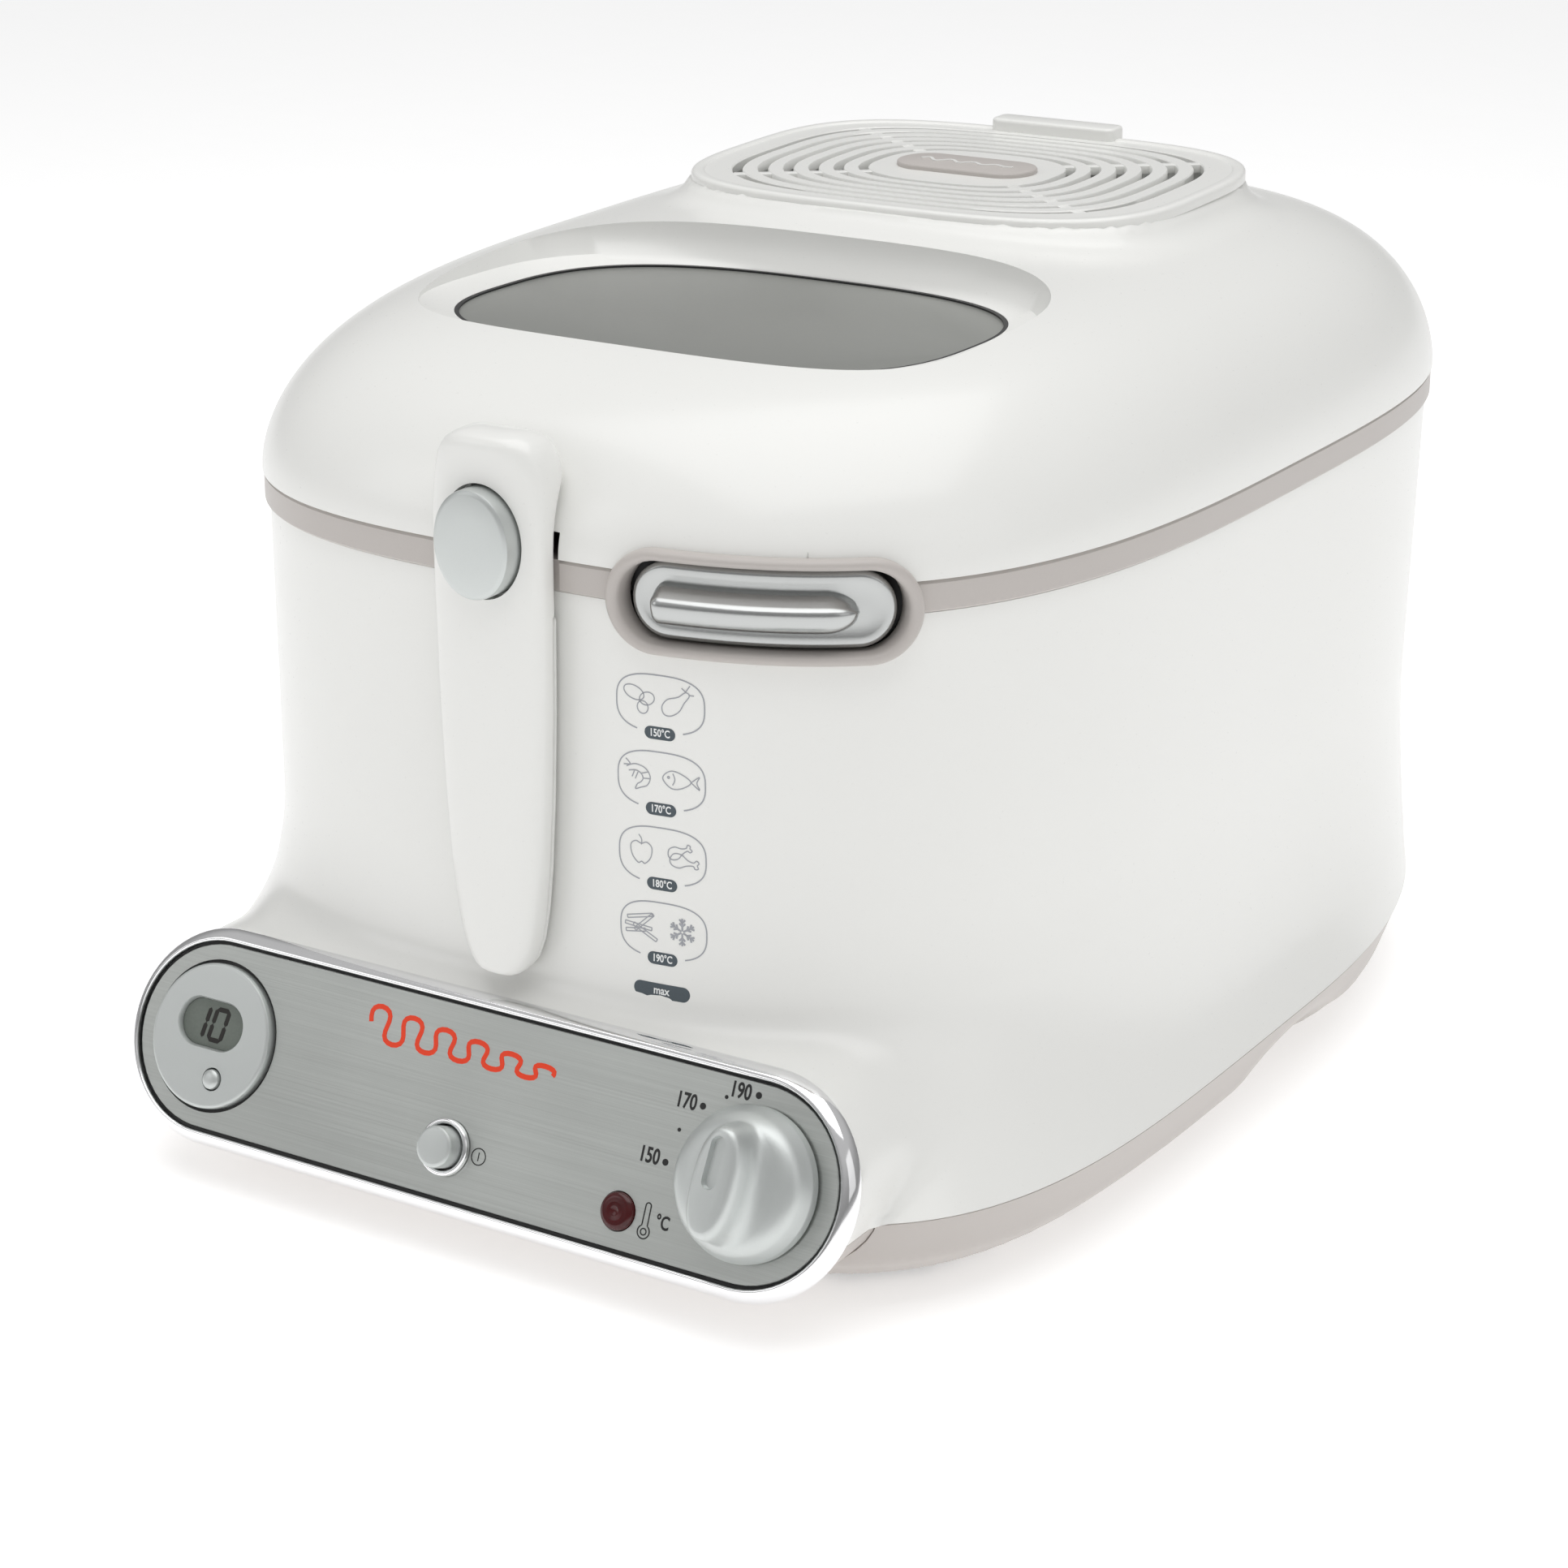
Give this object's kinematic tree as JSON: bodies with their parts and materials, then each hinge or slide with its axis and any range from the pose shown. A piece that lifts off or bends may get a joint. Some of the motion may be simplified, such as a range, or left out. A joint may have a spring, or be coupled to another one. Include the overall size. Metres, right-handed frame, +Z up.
{
  "type": "deep fryer",
  "caption": "Household deep fryer with a domed hinged lid, viewing window, raised filter grille, fold-out basket handle and a tilted control panel with timer and thermostat knob.",
  "frame": {"origin": "bottom centre of the bounding box, on the floor under the feet", "axes": "+Z up, the control panel and handle face -Y, +X to the right seen from the front"},
  "size_m": [0.283, 0.4126, 0.2423],
  "materials": {
    "white_plastic": "glossy off-white",
    "taupe_plastic": "satin taupe",
    "brushed_steel": "fine horizontal brushing",
    "chrome": "polished",
    "satin_silver": "satin silver",
    "rubber": "matt",
    "glass": "clear, grey tint",
    "display": "grey-green liquid crystal",
    "red_lens": "translucent dark red",
    "board": "green circuit board",
    "black_plastic": "matt",
    "coated_metal": "dark non-stick coating",
    "plated_steel": "bright plated"
  },
  "bodies": {
    "body": {"outer_casing": "white_plastic", "base_skirt": "taupe_plastic", "bottom_plate": "taupe_plastic", "rim_band": "taupe_plastic", "lever_bezel": "taupe_plastic", "hinge_bracket": "taupe_plastic", "cord_gland": "rubber", "foot_1": "rubber", "foot_2": "rubber", "foot_3": "rubber", "foot_4": "rubber", "base_screw_1": "plated_steel", "base_screw_2": "plated_steel", "base_screw_3": "plated_steel", "base_screw_4": "plated_steel", "heat_shield": "plated_steel", "element_terminal": "plated_steel", "hinge_pin": "plated_steel", "handle_pivot_pin": "plated_steel", "handle_bracket": "plated_steel", "heating_element": "plated_steel", "frying_bowl": "coated_metal", "safety_cutout": "black_plastic", "power_switch": "black_plastic", "pilot_lamp": "black_plastic", "thermostat_switch": "black_plastic", "control_panel_plate": "brushed_steel", "panel_bezel": "chrome", "power_button_ring": "chrome", "timer_disc": "satin_silver", "timer_lens": "glass", "timer_display": "display", "pilot_lens": "red_lens", "timer_board": "board"},
    "lid": {"lid_shell": "white_plastic", "lid_liner": "plated_steel", "lid_gasket": "rubber", "window_gasket": "rubber", "window_pane": "glass", "latch_striker": "white_plastic", "grease_filter": "plated_steel"},
    "filter_lid": {"filter_cover": "white_plastic", "filter_badge": "taupe_plastic"},
    "lever": {"lid_release_lever": "chrome", "latch_hook": "plated_steel"},
    "power_button_body": {"power_button": "satin_silver"},
    "timer_button_body": {"timer_button": "satin_silver"},
    "knob": {"thermostat_knob": "satin_silver", "thermostat_shaft": "plated_steel"},
    "handle": {"handle_front_shell": "white_plastic", "handle_rear_shell": "white_plastic"},
    "handle_button_body": {"handle_button": "satin_silver"},
    "basket_body": {"basket": "plated_steel", "basket_rim_wire": "plated_steel", "basket_hanger": "plated_steel"}
  },
  "joints": [
    {"name": "lid_hinge", "type": "hinge", "parent": "body", "child": "lid", "pos_m": [0, 0.19677, 0.184], "axis": [-1, 0, 0], "range_deg": [0, 80]},
    {"name": "filter_cover_lift", "type": "slide", "parent": "lid", "child": "filter_lid", "axis": [0, -0.0332, 0.9995], "range_m": [0, 0.06]},
    {"name": "lid_release", "type": "slide", "parent": "body", "child": "lever", "axis": [-0.4226, 0.9063, 0], "range_m": [0, 0.004], "stiffness_N_per_m": 600},
    {"name": "power_press", "type": "slide", "parent": "body", "child": "power_button_body", "axis": [0, 0.9178, -0.3971], "range_m": [0, 0.0025], "stiffness_N_per_m": 300},
    {"name": "timer_press", "type": "slide", "parent": "body", "child": "timer_button_body", "axis": [0, 0.9178, -0.3971], "range_m": [0, 0.0008], "stiffness_N_per_m": 300},
    {"name": "thermostat_turn", "type": "hinge", "parent": "body", "child": "knob", "pos_m": [0.083, -0.18293, 0.0388], "axis": [0, -0.9178, 0.3971], "range_deg": [0, 100]},
    {"name": "handle_fold", "type": "hinge", "parent": "body", "child": "handle", "pos_m": [0, -0.16613, 0.202], "axis": [-1, 0, 0], "range_deg": [0, 90]},
    {"name": "handle_button_press", "type": "slide", "parent": "handle", "child": "handle_button_body", "axis": [0, 1, 0], "range_m": [0, 0.003], "stiffness_N_per_m": 400},
    {"name": "basket_lift", "type": "slide", "parent": "body", "child": "basket_body", "axis": [0, 0, 1], "range_m": [0, 0.0355]}
  ],
  "couplings": [
    {"joint": "basket_lift", "follows": "handle_fold", "m_per_rad": 0.0223}
  ]
}
